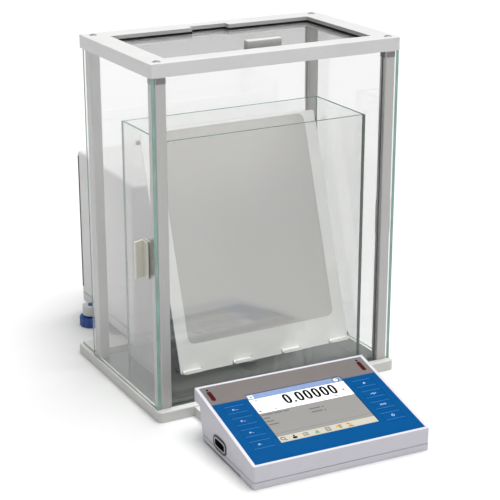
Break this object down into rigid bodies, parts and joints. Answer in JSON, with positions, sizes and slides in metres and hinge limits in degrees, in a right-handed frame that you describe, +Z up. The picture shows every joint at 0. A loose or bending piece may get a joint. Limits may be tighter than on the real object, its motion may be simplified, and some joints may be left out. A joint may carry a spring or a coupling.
{
  "type": "analytical balance",
  "caption": "Filter-weighing analytical balance: tall glass draft shield with sliding doors, inner glass box, tilted filter plate, rear housing and separate display terminal.",
  "frame": {"origin": "centre of the base tray's underside, on the table", "axes": "+Z up, +Y from the operator's side towards the rear housing, +X to the operator's right"},
  "size_m": [0.32, 0.5347, 0.393],
  "materials": {
    "tray_paint": "satin powder coat",
    "floor_gloss": "polished dark grey glass sheet, opaque",
    "frame_paint": "fine white powder coat",
    "post_anodised": "natural anodised extrusion",
    "gasket": "matt black brush strip",
    "screw_steel": "satin",
    "clear_glass": "clear float glass with green edges",
    "grip_plastic": "satin warm grey",
    "plate_sheet": "satin off-white",
    "plate_mesh": "finely perforated sheet",
    "carrier_dark": "dark anodised",
    "arm_metal": "machined",
    "housing_paint": "fine white powder coat",
    "chassis_paint": "light grey powder coat",
    "panel_dark": "fine matt",
    "port_black": "matt",
    "cell_metal": "milled",
    "magnet_steel": "turned",
    "weight_steel": "polished stainless",
    "board_green": "solder mask",
    "foot_blue": "moulded, satin gloss",
    "shell_plastic": "fine moulded texture, cool white",
    "keypad_blue": "embossed foil",
    "strip_grey": "foil",
    "screen": "lit touch display",
    "module_metal": "folded frame",
    "sensor_red": "infrared window"
  },
  "bodies": {
    "cabinet": {"base_tray": "tray_paint", "floor_plate": "floor_gloss", "terminal_bracket": "tray_paint", "front_left_post": "post_anodised", "front_right_post": "post_anodised", "rear_left_post": "post_anodised", "rear_right_post": "post_anodised", "top_frame": "frame_paint", "top_gasket": "gasket", "frame_screws": "screw_steel", "front_glass": "clear_glass", "rear_glass": "clear_glass", "weighing_arm": "arm_metal", "chassis": "chassis_paint", "housing_cover": "housing_paint", "rear_panel": "panel_dark", "rear_panel_screws": "screw_steel", "power_inlet": "port_black", "serial_ports": "port_black", "load_cell_block": "cell_metal", "beam_lever": "cell_metal", "magnet_pot": "magnet_steel", "drive_motor": "module_metal", "main_board": "board_green"},
    "left_door": {"left_door_glass": "clear_glass", "left_door_handle": "grip_plastic"},
    "right_door": {"right_door_glass": "clear_glass", "right_door_handle": "grip_plastic"},
    "top_door": {"top_door_glass": "clear_glass", "top_door_handle": "grip_plastic"},
    "inner_shield": {"shield_front_pane": "clear_glass", "shield_rear_pane": "clear_glass", "shield_left_pane": "clear_glass", "shield_right_pane": "clear_glass"},
    "filter_pan": {"filter_plate": "plate_sheet", "filter_mesh": "plate_mesh", "carrier_rods": "carrier_dark", "carrier_frame": "arm_metal"},
    "left_foot": {"left_foot": "foot_blue"},
    "right_foot": {"right_foot": "foot_blue"},
    "drive_screw": {"drive_screw": "screw_steel"},
    "weight_lifter": {"weight_lifter": "arm_metal", "adjustment_weight": "weight_steel"},
    "terminal": {"terminal_upper_shell": "shell_plastic", "terminal_lower_shell": "shell_plastic", "keypad_sheet": "keypad_blue", "sensor_strip": "strip_grey", "screen_glass": "screen", "display_module": "module_metal", "terminal_board": "board_green", "sensor_windows": "sensor_red", "terminal_port": "port_black"},
    "key_1": {"key_1": "keypad_blue"},
    "key_2": {"key_2": "keypad_blue"},
    "key_3": {"key_3": "keypad_blue"},
    "key_4": {"key_4": "keypad_blue"},
    "key_5": {"key_5": "keypad_blue"},
    "key_6": {"key_6": "keypad_blue"},
    "key_7": {"key_7": "keypad_blue"},
    "key_8": {"key_8": "keypad_blue"}
  },
  "joints": [
    {"name": "left_door_slide", "type": "slide", "parent": "cabinet", "child": "left_door", "axis": [0, 1, 0], "range_m": [0, 0.118]},
    {"name": "right_door_slide", "type": "slide", "parent": "cabinet", "child": "right_door", "axis": [0, 1, 0], "range_m": [0, 0.118]},
    {"name": "top_door_slide", "type": "slide", "parent": "cabinet", "child": "top_door", "axis": [0, 1, 0], "range_m": [0, 0.124]},
    {"name": "inner_shield_lift", "type": "slide", "parent": "cabinet", "child": "inner_shield", "axis": [0, 0, 1], "range_m": [0, 0.06]},
    {"name": "filter_pan_lift", "type": "slide", "parent": "cabinet", "child": "filter_pan", "axis": [0, 0, 1], "range_m": [0, 0.05]},
    {"name": "left_foot_turn", "type": "hinge", "parent": "cabinet", "child": "left_foot", "pos_m": [-0.102, 0.184, 0.02], "axis": [0, 0, 1], "continuous": true},
    {"name": "right_foot_turn", "type": "hinge", "parent": "cabinet", "child": "right_foot", "pos_m": [0.102, 0.184, 0.02], "axis": [0, 0, 1], "continuous": true},
    {"name": "drive_screw_turn", "type": "hinge", "parent": "cabinet", "child": "drive_screw", "pos_m": [-0.062, 0.15, 0.04], "axis": [0, 0, 1], "range_deg": [0, 720]},
    {"name": "weight_lifter_drop", "type": "slide", "parent": "cabinet", "child": "weight_lifter", "axis": [0, 0, -1], "range_m": [0, 0.004]},
    {"name": "terminal_lift", "type": "slide", "parent": "cabinet", "child": "terminal", "axis": [0, 0, 1], "range_m": [0, 0.1]},
    {"name": "key_1_press", "type": "slide", "parent": "terminal", "child": "key_1", "axis": [0.0098, 0.1865, -0.9824], "range_m": [0, 0.0004], "stiffness_N_per_m": 600},
    {"name": "key_2_press", "type": "slide", "parent": "terminal", "child": "key_2", "axis": [0.0098, 0.1865, -0.9824], "range_m": [0, 0.0004], "stiffness_N_per_m": 600},
    {"name": "key_3_press", "type": "slide", "parent": "terminal", "child": "key_3", "axis": [0.0098, 0.1865, -0.9824], "range_m": [0, 0.0004], "stiffness_N_per_m": 600},
    {"name": "key_4_press", "type": "slide", "parent": "terminal", "child": "key_4", "axis": [0.0098, 0.1865, -0.9824], "range_m": [0, 0.0004], "stiffness_N_per_m": 600},
    {"name": "key_5_press", "type": "slide", "parent": "terminal", "child": "key_5", "axis": [0.0098, 0.1865, -0.9824], "range_m": [0, 0.0004], "stiffness_N_per_m": 600},
    {"name": "key_6_press", "type": "slide", "parent": "terminal", "child": "key_6", "axis": [0.0098, 0.1865, -0.9824], "range_m": [0, 0.0004], "stiffness_N_per_m": 600},
    {"name": "key_7_press", "type": "slide", "parent": "terminal", "child": "key_7", "axis": [0.0098, 0.1865, -0.9824], "range_m": [0, 0.0004], "stiffness_N_per_m": 600},
    {"name": "key_8_press", "type": "slide", "parent": "terminal", "child": "key_8", "axis": [0.0098, 0.1865, -0.9824], "range_m": [0, 0.0004], "stiffness_N_per_m": 600}
  ],
  "couplings": [
    {"joint": "drive_screw_turn", "follows": "weight_lifter_drop", "rad_per_m": 3141.6}
  ]
}
